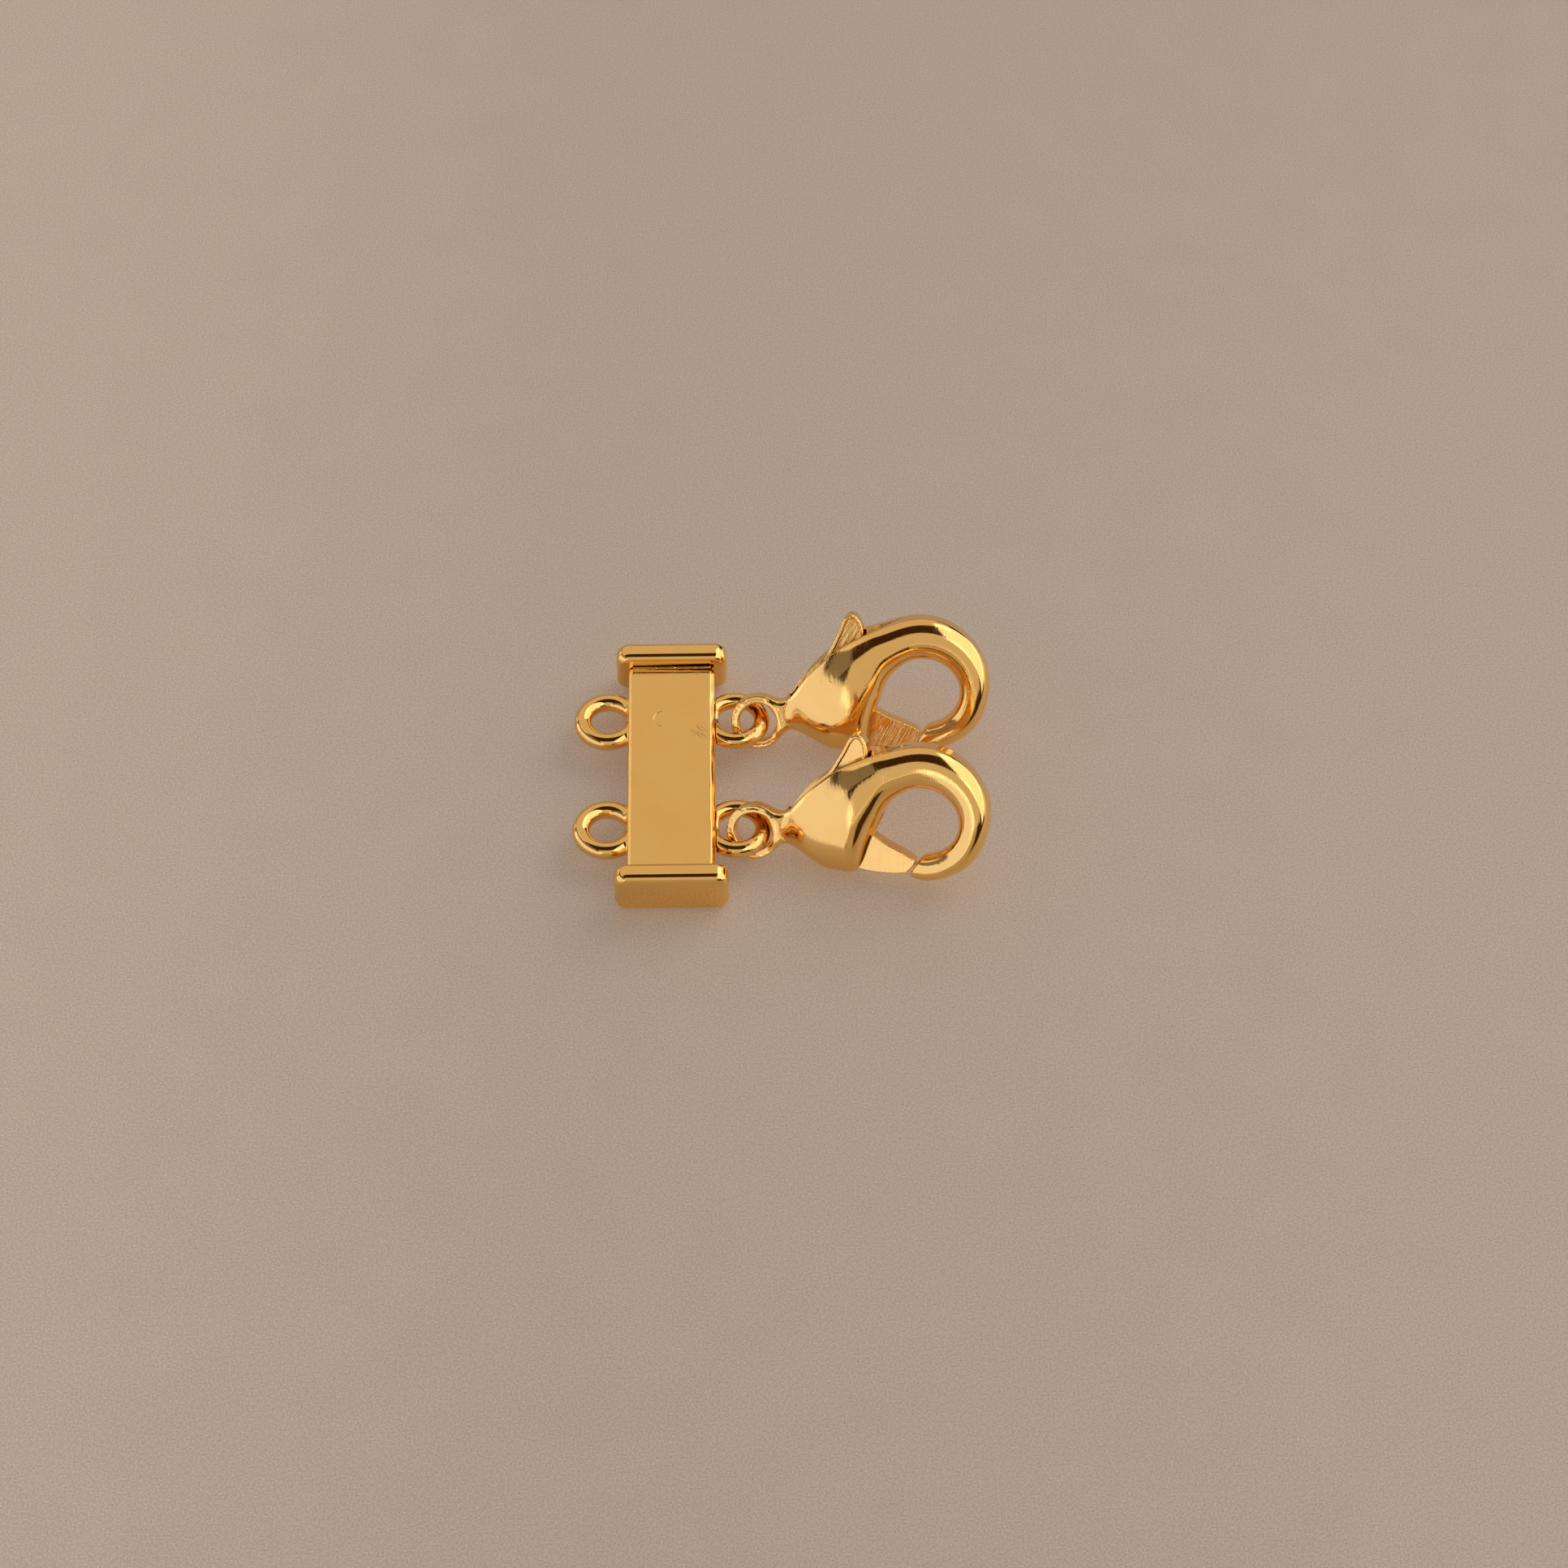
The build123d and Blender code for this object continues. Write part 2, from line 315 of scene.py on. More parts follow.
# Noise: cells a metre, detail, the levels between which it counts, how many times finer it is
# along X, Y and Z, and a turn in degrees
Noise = namedtuple("Noise", "scale detail low high finer turn", defaults=(0, 1, (1, 1, 1), 0))
tone_noise = Noise(420, 3, 0.3, 0.7)
rough_noise = Noise(5200, 4, 0.35, 0.7)
wave_noise = Noise(800, 2)
line_noise = Noise(1100, 3, finer=(9, 1, 1))
pit_noise = Noise(3300, 2, 0.27, 0.33)
scuff_noise = Noise(1500, 3, 0.52, 0.66, (1, 9, 1), -50)
brush_noise = Noise(700, 4, 0.42, 0.62, (1, 14, 1), 45)
# The ragged edge of the painted shade beside the far cap
joint_shade_noise = Noise(4000, 3, 0.3, 0.7)
tooth_noise = Noise(10000, 2, 0.2, 0.8)
mottle_noise = Noise(260, 3, 0.3, 0.7)

# The left part of a round scratch, a scuff and brushed lines, with their depths in metres
scratch_middle = (-0.40, 10.23, 1.85)
scratch_radius = 0.50
scratch_half = 0.022
scratch_sides = (-0.55, -0.30)
scratch_depth = 7e-6
scuff_middle = (1.5, 9.4, 1.85)
scuff_radius = 0.8
scuff_depth = 2e-5
brush_depth = 2.2e-5

# A painted dark ragged line of shade on the tube beside the far cap, standing in for the cap's shade
# and dark reflection there, wider towards the right
joint_shade_colour = (0.07, 0.03, 0.012, 1)
joint_shade_width = (0.08, 0.27)
joint_shade_rag = 0.03
joint_shade_edge = 0.025
joint_shade_rise = 0.02

# The board: how much its fine tooth and its broad mottle change the colour
floor_side = 1.5
# Painted light pales the board fully at the first X and not at all at the second, in metres
floor_lit_reach = (-0.036, -0.004)
tooth_shades = (0.74, 1.20)
tooth_depth = 4e-6
mottle_shade = 0.03
floor_roughness = 0.45

# The room: even light on matt surfaces, and dark brown between the soft boxes in the metal. A
# warm fill from above casts no shadow.
room_strength = 0.26
dim_colour = (1.0, 0.45, 0.2, 1)
dim_strength = 0.04
fill_strength = 0.25
fill_colour = (1.0, 0.92, 0.80)

# A very soft sun from the right and behind, for the lock's broad shade on the floor
shade_strength = 0.11
shade_azimuth = 50
shade_elevation = 27
shade_spread = 46

# Soft boxes stand round the clasp at one distance: azimuth from +Y towards +X, elevation, width
# and height in metres, brightness and colour
light_aim = (0.0056, 0.007, 0.0013)
light_distance = 0.30
soft_boxes = [
    ("right_box", 92, 41, 0.60, 0.37, 1.30, (1.0, 0.97, 1.0)),
    ("right_low_box", 78, 5, 0.39, 0.10, 0.86, (1.0, 0.93, 0.88)),
    ("left_box", -66, 5, 0.18, 0.09, 0.50, (1.0, 0.95, 0.88)),
    ("front_left_box", -114, 17.5, 0.68, 0.207, 1.02, (0.85, 0.85, 1.0)),
    ("left_top_box", -100, 47, 0.36, 0.10, 0.20, (0.92, 0.88, 0.92)),
    ("back_box", -10, 48, 0.52, 0.30, 0.60, (1.0, 0.88, 0.75)),
    ("back_low_box", -20, 9, 0.43, 0.10, 0.38, (1.0, 0.87, 0.71)),
    ("front_top_box", 176, 38, 0.28, 0.19, 0.58, (1.0, 0.92, 0.84)),
    ("front_low_box", -176, 11, 0.13, 0.115, 0.42, (1.0, 0.85, 0.68)),
]

# Finishes of the gold: least and most roughness, and the depths in metres of its waves, its
# polishing lines and its pits
finishes = {
    "polished_gold": (0.06, 0.12, 1.5e-6, 3e-7, 2e-7),
    "tube_gold": (0.11, 0.19, 3e-6, 2e-7, 1e-6),
    "cast_gold": (0.07, 0.15, 3e-6, 2.4e-6, 1.5e-6),
    "rough_gold": (0.16, 0.30, 2e-5, 3e-6, 6e-6),
    "lever_gold": (0.09, 0.18, 3e-6, 1e-6, 2e-6),
    "brushed_gold": (0.10, 0.20, 3e-6, 1e-6, 2e-6),
}


def points_of(shares):
    """Points in the claw's plane from shares of its reach and width."""
    return [(along * claw_reach, across * bulb_width) for along, across in shares]


def hook_point(turn, radius):
    """A point in the claw's plane, turned about the middle of the hook's hole."""
    turned = radians(turn)
    return (claw_reach + radius * cos(turned), hook_centre_across + radius * sin(turned))


def smooth_min(a, b, blend):
    """The lower of two distances, rounded where they are alike."""
    near = np.maximum(blend - np.abs(a - b), 0) / blend
    return np.minimum(a, b) - near * near * blend / 4


def smooth_max(a, b, blend):
    """The higher of two distances, rounded where they are alike."""
    return -smooth_min(-a, -b, blend)


def soft_step(value, low, high):
    """From 0 below low to 1 above high, without a corner."""
    share = np.clip((value - low) / (high - low), 0, 1)
    return share * share * (3 - 2 * share)


def cast_grain(points, grain):
    """Smooth random heights in a grain's cells, the same on every run."""
    scaled = points / grain.cell + grain.seed * 19.7
    base = np.floor(scaled).astype(np.int64)
    part = scaled - base
    part = part * part * (3 - 2 * part)
    primes = (73856093, 19349663, 83492791)
    keys = [(base[:, k] * prime, (base[:, k] + 1) * prime) for k, prime in enumerate(primes)]
    shares = [(1 - part[:, k], part[:, k]) for k in range(3)]
    total = np.zeros(len(points))
    for i, j, k in product((0, 1), repeat=3):
        mixed = ((keys[0][i] ^ keys[1][j] ^ keys[2][k]) & 0xFFFFFF) * 2654435761 & 0xFFFFFFFF
        total += shares[0][i] * shares[1][j] * shares[2][k] * (mixed / 2147483648 - 1)
    return grain.height * total


def polygon_distance(points, outline):
    """Signed distance in the plane from a closed outline, below zero inside it."""
    corners = np.array(outline, float)
    nearest = np.full(len(points), 1e9)
    inside = np.zeros(len(points), bool)
    for start, end in zip(corners, np.roll(corners, -1, axis=0)):
        side = end - start
        away = points - start
        share = np.clip(away @ side / (side @ side), 0, 1)
        gap = away - share[:, None] * side
        nearest = np.minimum(nearest, np.einsum("ij,ij->i", gap, gap))
        spans = (start[1] > points[:, 1]) != (end[1] > points[:, 1])
        rise = side[1] if side[1] else 1e-12
        inside ^= spans & (points[:, 0] < side[0] * away[:, 1] / rise + start[0])
    return np.where(inside, -1, 1) * np.sqrt(nearest)


def rounded_plate(across, away, rounding):
    """Distance from a plate with rounded rims, from those of its outline and its faces."""
    first, second = across + rounding, away + rounding
    outer = np.hypot(np.maximum(first, 0), np.maximum(second, 0))
    return np.minimum(np.maximum(first, second), 0) + outer - rounding


def oval(across, away, half_width, half_thick):
    """Distance from a full, rounded section with the given half sizes."""
    wide = np.maximum(np.abs(across) / half_width, 1e-6)
    thick = np.maximum(np.abs(away) / half_thick, 1e-6)
    reach = (wide ** section_power + thick ** section_power) ** (1 / section_power)
    lean = section_power - 1
    slope = np.hypot((wide / reach) ** lean / half_width, (thick / reach) ** lean / half_thick)
    return (reach - 1) / slope


def cross(first, second):
    """Cross products of pairs of directions in the plane."""
    return first[:, 0] * second[:, 1] - first[:, 1] * second[:, 0]


class Spine:
    """Sections of the claw in its plane, joined by a natural cubic spline."""

    def __init__(self):
        rows = []
        for *ends, thick in bulb_rows:
            top, low = points_of([ends[0:2], ends[2:4]])
            rows.append((*top, *low, thick * bulb_thick / 2))
        for turn, inner, outer, thick in hook_rows:
            top = hook_point(turn, outer * hook_radius)
            low = hook_point(turn, inner * hook_hole_radius)
            rows.append((*top, *low, thick * hook_thick / 2))
        self.rows = np.array(rows)
        middles = (self.rows[:, 0:2] + self.rows[:, 2:4]) / 2
        steps = norm(np.diff(middles, axis=0), axis=1)
        self.at = np.concatenate([[0], np.cumsum(steps)])
        self.length = self.at[-1]
        system = np.eye(len(rows))
        for i in range(1, len(rows) - 1):
            system[i, i - 1:i + 2] = steps[i - 1], 2 * (steps[i - 1] + steps[i]), steps[i]
        sides = np.zeros_like(self.rows)
        sides[1:-1] = 6 * np.diff(np.diff(self.rows, axis=0) / steps[:, None], axis=0)
        self.bends = np.linalg.solve(system, sides)

    def section(self, place):
        """Both ends and half thickness at places along the spine, and their slopes."""
        i = np.clip(np.searchsorted(self.at, place) - 1, 0, len(self.at) - 2)
        span = (self.at[i + 1] - self.at[i])[:, None]
        left = (self.at[i + 1] - place)[:, None] / span
        right = 1 - left
        first, second = self.rows[i], self.rows[i + 1]
        bend_first, bend_second = self.bends[i], self.bends[i + 1]
        curve = (left ** 3 - left) * bend_first + (right ** 3 - right) * bend_second
        value = left * first + right * second + curve * span ** 2 / 6
        turn = (1 - 3 * left ** 2) * bend_first + (3 * right ** 2 - 1) * bend_second
        return value, (second - first) / span + turn * span / 6

    def locate(self, plan):
        """The place along the spine whose section is nearest to each point."""
        places = np.linspace(0, self.length, spine_places)
        rows = self.section(places)[0]
        tops, lows = rows[:, 0:2], rows[:, 2:4]
        sides = tops - lows
        found = np.empty(len(plan))
        for start in range(0, len(plan), spine_block):
            block = plan[start:start + spine_block]
            away_u = block[:, None, 0] - lows[None, :, 0]
            away_v = block[:, None, 1] - lows[None, :, 1]
            share = (away_u * sides[:, 0] + away_v * sides[:, 1]) / (sides ** 2).sum(1)
            share = np.clip(share, 0, 1)
            gap = (away_u - share * sides[:, 0]) ** 2 + (away_v - share * sides[:, 1]) ** 2
            found[start:start + spine_block] = places[np.argmin(gap, axis=1)]
        return found

    def read(self, plan, place):
        """Place, across, half width, half thickness and distance past an end of plane points."""
        step = self.length / spine_places
        for _ in range(spine_rounds):
            value, change = self.section(place)
            side = value[:, 0:2] - value[:, 2:4]
            away = plan - value[:, 2:4]
            slope = cross(change[:, 0:2] - change[:, 2:4], away) - cross(side, change[:, 2:4])
            slope = np.where(np.abs(slope) < 1e-9, 1e-9, slope)
            move = np.clip(cross(side, away) / slope, -step, step)
            place = np.clip(place - move, 0, self.length)
        value = self.section(place)[0]
        top, low = value[:, 0:2], value[:, 2:4]
        side = top - low
        width = norm(side, axis=1)
        away = plan - (top + low) / 2
        across = np.einsum("ij,ij->i", away, side) / width
        miss = np.abs(cross(side, away)) / width
        to_end = np.minimum(place, self.length - place)
        past = np.where(to_end > 1e-9, -to_end, miss)
        return place, across, width / 2, value[:, 4], past


spine = Spine()


def claw_directions(which):
    """The middle of a claw's eye and its own directions, from its hinge and its hook."""
    joint = next(j for j in frame["joints"] if j["name"] == f"{which}_lever_hinge")
    mount = next(m for m in frame["record"]["mounts"] if m["name"] == f"{which}_hook")
    pivot, hook = (np.array(item["pos_m"]) * METRE for item in (joint, mount))
    normal = np.array(joint["axis"], float)
    normal /= norm(normal)
    plan = np.array([claw_reach - pivot_along, hook_centre_across - pivot_across])
    span = hook - pivot
    aside = np.cross(normal, span)
    along = (plan[0] * span - plan[1] * aside) / (plan @ plan)
    along /= norm(along)
    up = np.cross(normal, along)
    middle = pivot - pivot_along * along - pivot_across * up
    return middle, np.stack([along, up, normal])


# Both claws lie alike: how high an eye's middle is, and how height grows in its directions
eye_height = claw_directions("near")[0][2]
height_slopes = claw_directions("near")[1][:, 2]


def claw_plan(plan, near):
    """What a claw's thickness follows at points of its plane, from what was near them."""
    place = spine.locate(plan) if near is None else near[0]
    return np.stack([*spine.read(plan, place), polygon_distance(plan, points_of(slot_outline))])


def claw_distance(points, facts):
    """Distance from the cast body of a claw, in its own directions."""
    along, up, away = points.T
    place, across, half_width, half_thick, past, from_slot = facts
    share = place / spine.length
    # The bulb and hook, with a flat flank down their outer side that fades out under the hook
    fade = soft_step(share, *flank_fade)
    fullness = outer_fullness + (1 - outer_fullness) * fade
    full = np.where(across > 0, across / fullness, across)
    horn = oval(full, away, half_width, half_thick)
    flank = flank_share + flank_rise * fade
    near_side = (away > 0) * (1 - soft_step(share, *near_rim_fade)) * near_rim_drop
    horn = smooth_max(horn, across - flank * half_width + near_side, flank_round)
    horn = smooth_max(horn, past, spine_end_round)
    from_cut = (along - hook_cut[0]) * cos(hook_cut_turn) + (up - hook_cut[1]) * sin(hook_cut_turn)
    horn = smooth_max(horn, np.where(share > hook_cut_start, from_cut, -1), hook_cut_round)
    # The bulb begins at an arc across the neck, with a fine groove along it
    from_arc = np.minimum(crease_along + crease_bend * up ** 2, crease_end) - along
    horn = smooth_max(horn, from_arc, crease_round)
    groove = np.exp(-(from_arc / crease_half_width) ** 2)
    # The neck, waisted between the eye and the bulb
    waist = waist_half - waist_dip * np.exp(-((along - waist_along) / waist_spread) ** 2)
    neck = np.maximum(np.abs(up - neck_middle[1]) - waist,
                      np.abs(along - neck_middle[0]) - neck_half_long)
    neck = rounded_plate(neck, np.abs(away) - neck_half_thick, neck_round)
    # The eye
    middle = (eye_radius + eye_hole_radius) / 2
    from_middle = np.hypot(along, up)
    band = (eye_radius - eye_hole_radius) / 2
    eye = rounded_plate(np.abs(from_middle - middle) - band, np.abs(away) - eye_thick / 2, eye_round)
    rough = soft_step(from_middle, *eye_rough_reach) * (1 - soft_step(along, *eye_rough_end))
    eye = eye + rough * (eye_grain.height + cast_grain(points, eye_grain))
    stem = smooth_min(eye, neck, stem_blend)
    stem = smooth_max(stem, eye_hole_radius - from_middle, eye_hole_round)
    body = smooth_min(horn, stem, bulb_blend) + crease_depth * groove
    # The nub, the slot that takes the lever, and the floor
    nub = norm(points - np.array(nub_place), axis=1) - nub_radius
    body = smooth_min(body, nub, nub_blend)
    slot = np.maximum(from_slot, np.abs(away) - slot_half)
    body = smooth_max(body, -slot, slot_round)
    return smooth_max(body, floor_gap - eye_height - points @ height_slopes, floor_round)


def lever_outline():
    """The lever's closed outline, with points between the ones given."""
    runs = [thumb_left + thumb_tip[:1], thumb_tip, thumb_tip[-1:] + thumb_right,
            thumb_right[-1:] + jaw_top + jaw_end[:1], jaw_end, jaw_end[-1:] + jaw_low]
    outline = []
    for run in runs:
        knots = np.array(points_of(run))
        outline += list(knots[:-1]) if run is jaw_end else curve_through(knots)
    return outline + points_of(jaw_low[-1:])


def curve_through(knots):
    """Points on a smooth curve through the given ones, without the last."""
    ends = np.vstack([2 * knots[0] - knots[1], knots, 2 * knots[-1] - knots[-2]])
    curve = []
    for before, start, end, after in zip(ends, ends[1:], ends[2:], ends[3:]):
        for share in np.arange(curve_parts) / curve_parts:
            bend = (2 * before - 5 * start + 4 * end - after) * share ** 2
            turn = (3 * start - before - 3 * end + after) * share ** 3
            curve.append(start + ((end - before) * share + bend + turn) / 2)
    return curve


lever_points = lever_outline()


def lever_plan(plan, near):
    """Distances in the claw's plane from the lever's outline and from its pin's middle."""
    from_pin = np.hypot(plan[:, 0] - pivot_along, plan[:, 1] - pivot_across)
    outline = polygon_distance(plan, lever_points)
    return np.stack([smooth_min(outline, from_pin - boss_radius, boss_blend), from_pin])


def lever_distance(points, facts):
    """Distance from the lever plate: thumb, web with its boss, and jaw."""
    along, up, away = points.T
    outline, from_pin = facts
    thumb = soft_step(up, *thumb_start)
    rough = cast_grain(points, lever_grain) * (1 - thumb) * soft_step(along, *jaw_start)
    outline = outline + lever_grain.height + rough
    rounding = lever_round + thumb_extra_round * thumb
    dish = thumb_dish * thumb * soft_step(-outline, *thumb_rim)
    plate = rounded_plate(outline, np.abs(away) - lever_half + dish, rounding)
    return np.maximum(plate, pin_hole_radius - from_pin)


def ring_distance(points, facts):
    """Distance from a left ring's wire, its root against the tube's wall at +X."""
    along, up, away = points.T
    from_middle = np.hypot(along, up) - ring_radius + left_wire_extra
    wire = np.hypot(from_middle, away) - wire_radius - left_wire_extra
    wire = wire + cast_grain(points, left_ring_grain)
    wall = root_along - along
    dabs = cast_grain(points, root_grain) * soft_step(along, *root_reach)
    ring = smooth_min(wire, wall + dabs, ring_flare)
    ring = np.maximum(ring, wire - ring_flare_end * ring_flare)
    ring = np.maximum(ring, -wall - root_overlap)
    return smooth_max(ring, np.abs(away) - (tube_height / 2 - tube_edge_drop), root_round)


def tab_ring_distance(points, facts):
    """Distance from a right ring's wire, whose root is a tab through the slot at +X."""
    along, up, away = points.T
    wire = np.hypot(np.hypot(along, up) - ring_radius, away) - wire_radius
    worn = (along - bearing_place[0]) ** 2 + (up - bearing_place[1]) ** 2
    worn = np.exp(-worn / bearing_spread) * cast_grain(points, bearing_grain)
    wire = wire + cast_grain(points, right_ring_grain) + worn
    wire = smooth_max(wire, along - (root_along - slide_fit / 3), ring_edge_round)
    low, high = (root_along + reach for reach in ring_tab_reach)
    tab = np.maximum(np.abs(along - (low + high) / 2) - (high - low) / 2,
                     np.abs(up) - ring_tab_width / 2)
    tab = rounded_plate(tab, np.abs(away) - (lip_slot / 2 - slide_fit), ring_tab_round)
    return smooth_min(wire, tab, ring_tab_blend)


def bead_distance(points, facts):
    """Distance from the rough bead of solder between the far cap and the tube."""
    half = tube_width / 2 - tube_edge_bevel - bead_radius
    aside = np.maximum(np.abs(points[:, 0]) - half, 0)
    bead = np.sqrt(aside ** 2 + points[:, 1] ** 2 + points[:, 2] ** 2) - bead_radius
    return bead + cast_grain(points, bead_grain)


def no_plan(plan, near):
    """For shapes that need nothing worked out in a plane first."""
    return np.zeros((1, len(plan)))


def surface_slopes(distance, plan, points, facts):
    """The distance at each point, and how it grows along the three directions."""
    here = distance(points, facts)
    parts = []
    for axis in range(3):
        ahead = points + slope_step * np.eye(3)[axis]
        ahead_facts = facts if axis == 2 else plan(ahead[:, 0:2], facts)
        parts.append((distance(ahead, ahead_facts) - here) / slope_step)
    return here, np.stack(parts, axis=1)


def settle(distance, plan, points, facts, most):
    """Moves points onto the surface, no further than asked."""
    facts = plan(points[:, 0:2], facts)
    here, slopes = surface_slopes(distance, plan, points, facts)
    steep = np.maximum(np.einsum("ij,ij->i", slopes, slopes), least_steep)
    move = slopes * (here / steep)[:, None]
    size = np.maximum(norm(move, axis=1), 1e-12)[:, None]
    return points - move * np.minimum(1, most / size), facts


def cast_surface(distance, box, plan=no_plan):
    """Points, four-sided faces and normals of the surface where distance is zero."""
    low, cell = np.array(box.low), box.cell
    counts = np.ceil((np.array(box.high) - low) / cell).astype(int) + 1
    axes = [low[k] + cell * np.arange(counts[k]) for k in range(3)]
    grid = np.stack(np.meshgrid(*axes, indexing="ij"), axis=-1)
    facts = plan(grid[:, :, 0, 0:2].reshape(-1, 2), None)
    facts = np.repeat(facts, counts[2], axis=1)
    values = distance(grid.reshape(-1, 3), facts).reshape(counts)
    inside = values < 0
    spots = counts - 1

    def corner(array, offset):
        return array[tuple(slice(o, o + n) for o, n in zip(offset, spots))]

    offsets = list(product((0, 1), repeat=3))
    filled = sum(corner(inside, o).astype(np.int8) for o in offsets)
    active = (filled > 0) & (filled < 8)
    total = np.zeros((*spots, 3))
    crossings = np.zeros(spots)
    for start, axis in product(offsets, range(3)):
        if start[axis]:
            continue
        step = np.arange(3) == axis
        first, second = corner(values, start), corner(values, start + step)
        cut = ((first < 0) != (second < 0)) & active
        share = np.where(cut, first / np.where(cut, first - second, 1), 0)
        total += cut[..., None] * (start + share[..., None] * step)
        crossings += cut
    index = np.full(spots, -1)
    index[active] = np.arange(active.sum())
    cells = np.argwhere(active)
    points = low + cell * (cells + total[active] / crossings[active][:, None])

    faces = []
    for axis in range(3):
        b, c = (axis + 1) % 3, (axis + 2) % 3
        ahead = np.moveaxis(inside, (axis, b, c), (0, 1, 2))
        turned = np.moveaxis(index, (axis, b, c), (0, 1, 2))
        first = ahead[:-1, 1:-1, 1:-1]
        second = ahead[1:, 1:-1, 1:-1]
        ring = np.stack([turned[:, :-1, :-1], turned[:, 1:, :-1],
                         turned[:, 1:, 1:], turned[:, :-1, 1:]], axis=-1)
        faces.append(ring[first & ~second])
        faces.append(ring[second & ~first][:, ::-1])
    faces = np.concatenate(faces)

    following = np.roll(faces, -1, axis=1)
    neighbours = np.stack([faces, following]).reshape(-1)
    others = np.stack([following, faces]).reshape(-1)
    shared = np.bincount(neighbours, minlength=len(points))
    facts = None
    for _ in range(even_rounds):
        points, facts = settle(distance, plan, points, facts, cell)
        sums = [np.bincount(neighbours, points[others, k], len(points)) for k in range(3)]
        even = np.stack(sums, axis=1) / shared[:, None]
        points = points + even_share * (even - points)
    for _ in range(2):
        points, facts = settle(distance, plan, points, facts, cell / 2)
    normals = surface_slopes(distance, plan, points, plan(points[:, 0:2], facts))[1]
    normals /= np.maximum(norm(normals, axis=1), 1e-9)[:, None]
    return points, faces, normals


def add_object(name, data):
    """A new object in the scene."""
    item = bpy.data.objects.new(name, data)
    bpy.context.scene.collection.objects.link(item)
    return item


def add_mesh(name, points, faces, normals=None):
    """A smooth-shaded object from points in millimetres."""
    mesh = bpy.data.meshes.new(name)
    mesh.from_pydata((np.asarray(points) / METRE).tolist(), [], faces)
    mesh.validate()
    mesh.polygons.foreach_set("use_smooth", [True] * len(mesh.polygons))
    if normals is not None:
        mesh.normals_split_custom_set_from_vertices(normals.tolist())
    mesh.update()
    return add_object(name, mesh)


def roughen(piece, surface, rough, material):
    """Gives a cast piece a second finish on the faces whose middles are rough."""
    points, faces, _ = surface
    marked = rough(*points[faces].mean(axis=1).T)
    piece.data.materials.append(material)
    piece.data.polygons.foreach_set("material_index", marked.astype(np.int32))


def dress(piece, body, node, slot, material):
    """Puts a piece on its body in place of a plain solid, with its finish."""
    piece.data.materials.append(material)
    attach(piece, body)
    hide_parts(node)
    return piece


def rounded_outline(width, height, corner, arc_parts=8, side_parts=10):
    """A closed rounded rectangle about the middle, with points along its sides."""
    arcs = []
    for across, up, start in ((1, 1, 0), (-1, 1, 90), (-1, -1, 180), (1, -1, 270)):
        turns = [radians(start + 90 * part / arc_parts) for part in range(arc_parts + 1)]
        middle = np.array([across * (width / 2 - corner), up * (height / 2 - corner)])
        arcs.append([middle + corner * np.array([cos(turn), sin(turn)]) for turn in turns])
    outline = []
    for arc, following in zip(arcs, arcs[1:] + arcs[:1]):
        outline += arc
        shares = np.arange(1, side_parts) / side_parts
        outline += [arc[-1] + (following[0] - arc[-1]) * share for share in shares]
    return np.array(outline)


def loft(name, rings, centres=None):
    """A closed piece through rings of points, with flat ends or fans round two middles."""
    count = len(rings[0])
    points = [point for ring in rings for point in ring]
    faces = []
    for start in range(0, len(points) - count, count):
        for i in range(count):
            after = (i + 1) % count
            faces.append((start + i, start + after, start + count + after, start + count + i))
    last = len(points) - count
    if centres is None:
        faces += [tuple(range(count)), tuple(reversed(range(last, last + count)))]
        return add_mesh(name, points, faces)
    for start, order, centre in ((0, -1, centres[0]), (last, 1, centres[1])):
        for i in range(count):
            pair = (start + i, start + (i + 1) % count)
            faces.append((*pair[::order], len(points)))
        points.append(centre)
    return add_mesh(name, points, faces)


def cap_mesh(name, middle_along):
    """An end cap: a rounded plate with round edges and faintly crowned faces."""
    def outline(inset):
        return rounded_outline(cap_width - 2 * inset, cap_height - 2 * inset,
                               cap_corner_round - inset)

    half, height = cap_thick / 2, cap_height / 2
    inner = outline(cap_edge_round)
    rings = [(inner * share, half - cap_face_crown * share ** 2) for share in cap_face_rings]
    for part in range(cap_edge_steps + 1):
        turn = radians(90 * part / cap_edge_steps)
        rings.append((outline(cap_edge_round * (1 - sin(turn))),
                      half - cap_face_crown - cap_edge_round * (1 - cos(turn))))
    rings += [(ring, -depth) for ring, depth in reversed(rings)]
    rings = [[(across, middle_along - depth, up + height) for across, up in ring]
             for ring, depth in rings]
    return loft(name, rings, [(0, middle_along - depth, height) for depth in (half, -half)])


def tube_profile():
    """The tube's closed C-shaped section, seen along the bar."""
    def mirrored(corners):
        return [(across, -up, rounding) for across, up, rounding in reversed(corners)]

    half, top, slot = tube_width / 2, tube_height / 2, lip_slot / 2
    inset, drop = half - tube_edge_bevel, top - tube_edge_drop
    outer = [(half, slot, lip_round)]
    outer += [(across, up, tube_edge_round) for across, up in (
        (half, drop), (inset, top), (-inset, top), (-half, drop))]
    inner = [(across, up, lip_round) for across, up in (
        (cavity_left, top - tube_wall), (cavity_right, top - tube_wall), (cavity_right, slot))]
    corners = np.array(outer + mirrored(outer) + mirrored(inner) + inner)
    outline = []
    for last, here, following in zip(np.roll(corners, 1, 0), corners, np.roll(corners, -1, 0)):
        here, rounding = here[0:2], here[2]
        before, after = last[0:2] - here, following[0:2] - here
        before /= norm(before)
        after /= norm(after)
        for share in np.arange(corner_parts + 1) / corner_parts:
            outline.append(here + rounding * (before * (1 - share) ** 2 + after * share ** 2))
    return np.array(outline)


